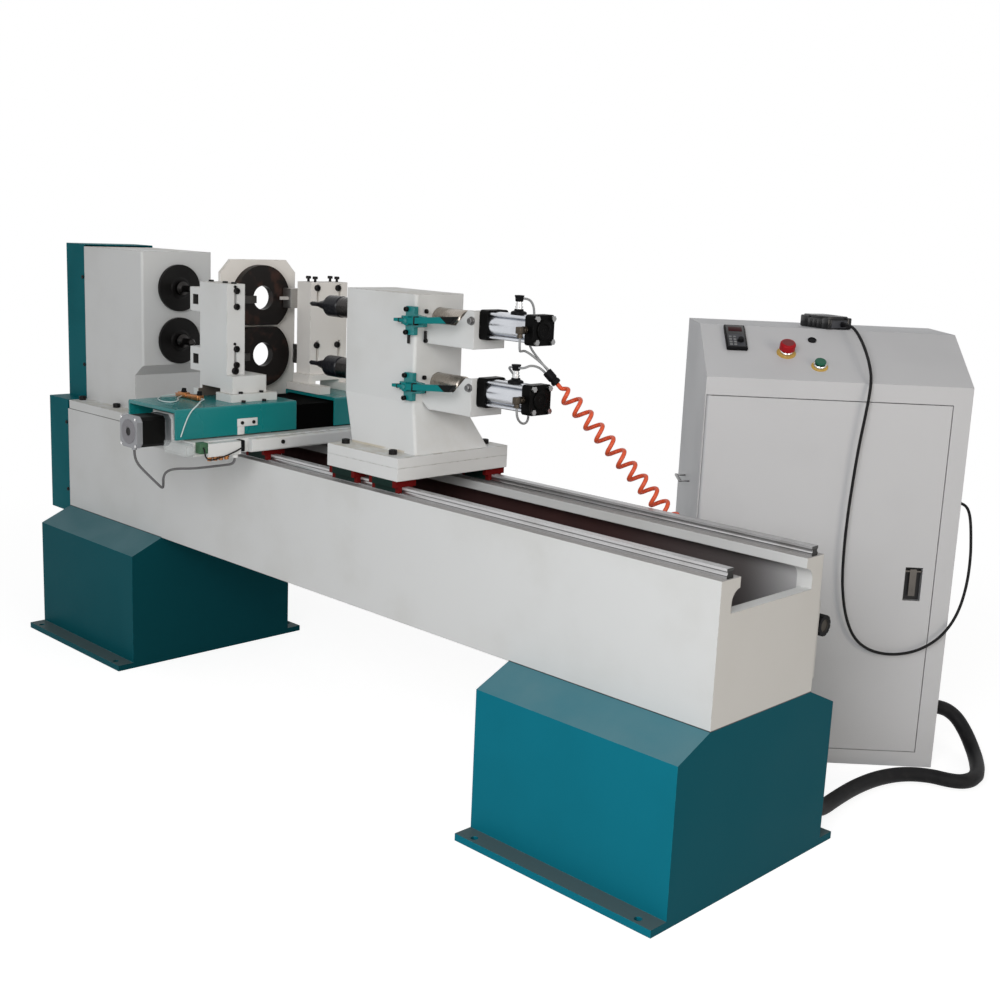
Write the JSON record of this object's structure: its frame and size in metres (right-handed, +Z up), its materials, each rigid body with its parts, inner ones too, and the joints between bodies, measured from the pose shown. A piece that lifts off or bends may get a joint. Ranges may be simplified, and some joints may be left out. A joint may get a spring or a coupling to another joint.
{
  "type": "cnc wood lathe",
  "caption": "Floor-standing wood turning lathe with stacked spindles, a rail-guided carriage with cross slides and steady rings, an air-powered tailstock and a separate control cabinet.",
  "frame": {"origin": "on the floor under the middle of the bed, at the centre of the rectangles of anchor holes in the feet", "axes": "+X along the bed from the headstock towards the tailstock, +Y from the operator's side to the back, +Z up"},
  "size_m": [2.9377, 1.8276, 1.299],
  "materials": {
    "white_paint": "textured off-white machine enamel",
    "teal_paint": "hammered dark teal enamel",
    "grey_paint": "light grey powder coat",
    "bright_steel": "ground and turned steel",
    "tooth_steel": "machined teeth, oiled",
    "guide_green": "dark green guide blocks with end seals",
    "black_metal": "satin black",
    "silver_aluminium": "extruded tube and die casting",
    "brass_fitting": "turned brass push-in fittings",
    "black_plastic": "moulded, fine grain",
    "red_plastic": "moulded mushroom head",
    "green_plastic": "moulded cap",
    "red_tube": "coiled polyurethane air tube",
    "grey_tube": "grey tube and cable jacket",
    "black_rubber": "black jacket"
  },
  "bodies": {
    "base": {"bed": "white_paint", "foot_left": "teal_paint", "foot_right": "teal_paint", "bed_rails": "bright_steel", "headstock": "white_paint", "spindle_cover": "teal_paint", "drive_cover": "teal_paint", "spindle_bearings": "bright_steel", "drive_motor": "black_metal", "drive_belts": "black_rubber", "feed_rack": "tooth_steel", "cabinet": "grey_paint", "electrics": "grey_paint", "panel_fittings": "bright_steel", "pendant": "black_plastic", "pendant_cable": "black_rubber", "conduit": "black_rubber", "air_regulator": "silver_aluminium", "spiral_hose": "red_tube"},
    "lower_spindle": {"lower_spindle": "bright_steel", "lower_drive_center": "bright_steel"},
    "upper_spindle": {"upper_spindle": "bright_steel", "upper_drive_center": "bright_steel"},
    "motor_rotor": {"motor_pulley": "tooth_steel"},
    "carriage": {"saddle": "white_paint", "carriage_blocks": "guide_green", "ring_plate": "white_paint", "steady_rings": "black_metal", "cross_rails": "bright_steel", "feed_motors": "black_metal", "center_cover": "black_metal", "motor_cable": "grey_tube"},
    "pinion": {"feed_pinion": "tooth_steel"},
    "front_cross": {"front_slide": "teal_paint", "front_tool_post": "white_paint", "front_tools": "bright_steel"},
    "rear_cross": {"rear_slide": "teal_paint", "rear_tool_post": "white_paint", "rear_tool_holders": "bright_steel"},
    "screw": {"cross_screw": "bright_steel"},
    "tailstock": {"tail_plate": "white_paint", "tail_column": "white_paint", "tail_blocks": "guide_green", "quill_brackets": "white_paint", "cylinder_barrels": "silver_aluminium", "cylinder_caps": "black_metal", "air_fittings": "brass_fitting", "quill_clamps": "teal_paint", "air_tubes": "grey_tube"},
    "lower_quill": {"lower_quill": "bright_steel"},
    "upper_quill": {"upper_quill": "bright_steel"},
    "lower_center": {"lower_live_center": "bright_steel"},
    "upper_center": {"upper_live_center": "bright_steel"},
    "lower_lever": {"lower_clamp_lever": "teal_paint"},
    "upper_lever": {"upper_clamp_lever": "teal_paint"},
    "door": {"door": "grey_paint"},
    "latch": {"door_latch": "bright_steel"},
    "stop": {"stop_button": "red_plastic"},
    "start": {"start_button": "green_plastic"},
    "knob": {"regulator_knob": "black_plastic"}
  },
  "joints": [
    {"name": "carriage_slide", "type": "slide", "parent": "base", "child": "carriage", "axis": [1, 0, 0], "range_m": [-0.38, 0.24]},
    {"name": "pinion_turn", "type": "hinge", "parent": "carriage", "child": "pinion", "pos_m": [-0.39, -0.093, 0.668], "axis": [0, 0, 1], "range_deg": [-350, 550]},
    {"name": "front_slide", "type": "slide", "parent": "carriage", "child": "front_cross", "axis": [0, 1, 0], "range_m": [-0.05, 0.035]},
    {"name": "rear_slide", "type": "slide", "parent": "carriage", "child": "rear_cross", "axis": [0, 1, 0], "range_m": [-0.035, 0.05]},
    {"name": "screw_turn", "type": "hinge", "parent": "carriage", "child": "screw", "pos_m": [-0.36, 0, 0.833], "axis": [0, 1, 0], "range_deg": [-910, 640]},
    {"name": "lower_spindle_turn", "type": "hinge", "parent": "base", "child": "lower_spindle", "pos_m": [-1.2, 0, 1.007], "axis": [1, 0, 0], "continuous": true},
    {"name": "upper_spindle_turn", "type": "hinge", "parent": "base", "child": "upper_spindle", "pos_m": [-1.2, 0, 1.177], "axis": [1, 0, 0], "continuous": true},
    {"name": "motor_turn", "type": "hinge", "parent": "base", "child": "motor_rotor", "pos_m": [-1.4, 0, 0.59], "axis": [1, 0, 0], "continuous": true},
    {"name": "tail_slide", "type": "slide", "parent": "base", "child": "tailstock", "axis": [1, 0, 0], "range_m": [-0.2, 0.95], "deforming": ["spiral_hose"]},
    {"name": "lower_quill_slide", "type": "slide", "parent": "tailstock", "child": "lower_quill", "axis": [1, 0, 0], "range_m": [0, 0.06]},
    {"name": "upper_quill_slide", "type": "slide", "parent": "tailstock", "child": "upper_quill", "axis": [1, 0, 0], "range_m": [0, 0.06]},
    {"name": "lower_center_turn", "type": "hinge", "parent": "lower_quill", "child": "lower_center", "pos_m": [-0.2, 0, 1.007], "axis": [1, 0, 0], "continuous": true},
    {"name": "upper_center_turn", "type": "hinge", "parent": "upper_quill", "child": "upper_center", "pos_m": [-0.2, 0, 1.177], "axis": [1, 0, 0], "continuous": true},
    {"name": "lower_lever_turn", "type": "hinge", "parent": "tailstock", "child": "lower_lever", "pos_m": [0.272, -0.107, 1.003], "axis": [0, -1, 0], "range_deg": [-30, 45]},
    {"name": "upper_lever_turn", "type": "hinge", "parent": "tailstock", "child": "upper_lever", "pos_m": [0.272, -0.107, 1.173], "axis": [0, -1, 0], "range_deg": [-30, 45]},
    {"name": "door_swing", "type": "hinge", "parent": "base", "child": "door", "pos_m": [0.79672, 0.49578, 0.5], "axis": [0, 0, -1], "range_deg": [0, 48], "deforming": ["pendant_cable"]},
    {"name": "latch_turn", "type": "hinge", "parent": "door", "child": "latch", "pos_m": [1.21992, 0.89532, 0.556], "axis": [-0.7248, -0.689, 0], "range_deg": [0, 45]},
    {"name": "stop_press", "type": "slide", "parent": "base", "child": "stop", "axis": [-0.3537, 0.372, -0.8582], "range_m": [0, 0.005], "stiffness_N_per_m": 800},
    {"name": "start_press", "type": "slide", "parent": "base", "child": "start", "axis": [-0.3537, 0.372, -0.8582], "range_m": [0, 0.004], "stiffness_N_per_m": 500},
    {"name": "knob_turn", "type": "hinge", "parent": "base", "child": "knob", "pos_m": [1.34, 0.226, 0.562], "axis": [1, 0, 0], "range_deg": [-540, 540]}
  ],
  "couplings": [
    {"joint": "pinion_turn", "follows": "carriage_slide", "rad_per_m": -25},
    {"joint": "rear_slide", "follows": "front_slide", "ratio": -1},
    {"joint": "screw_turn", "follows": "front_slide", "rad_per_m": 314.16},
    {"joint": "upper_spindle_turn", "follows": "lower_spindle_turn", "ratio": 1},
    {"joint": "motor_turn", "follows": "lower_spindle_turn", "ratio": 1.24}
  ]
}
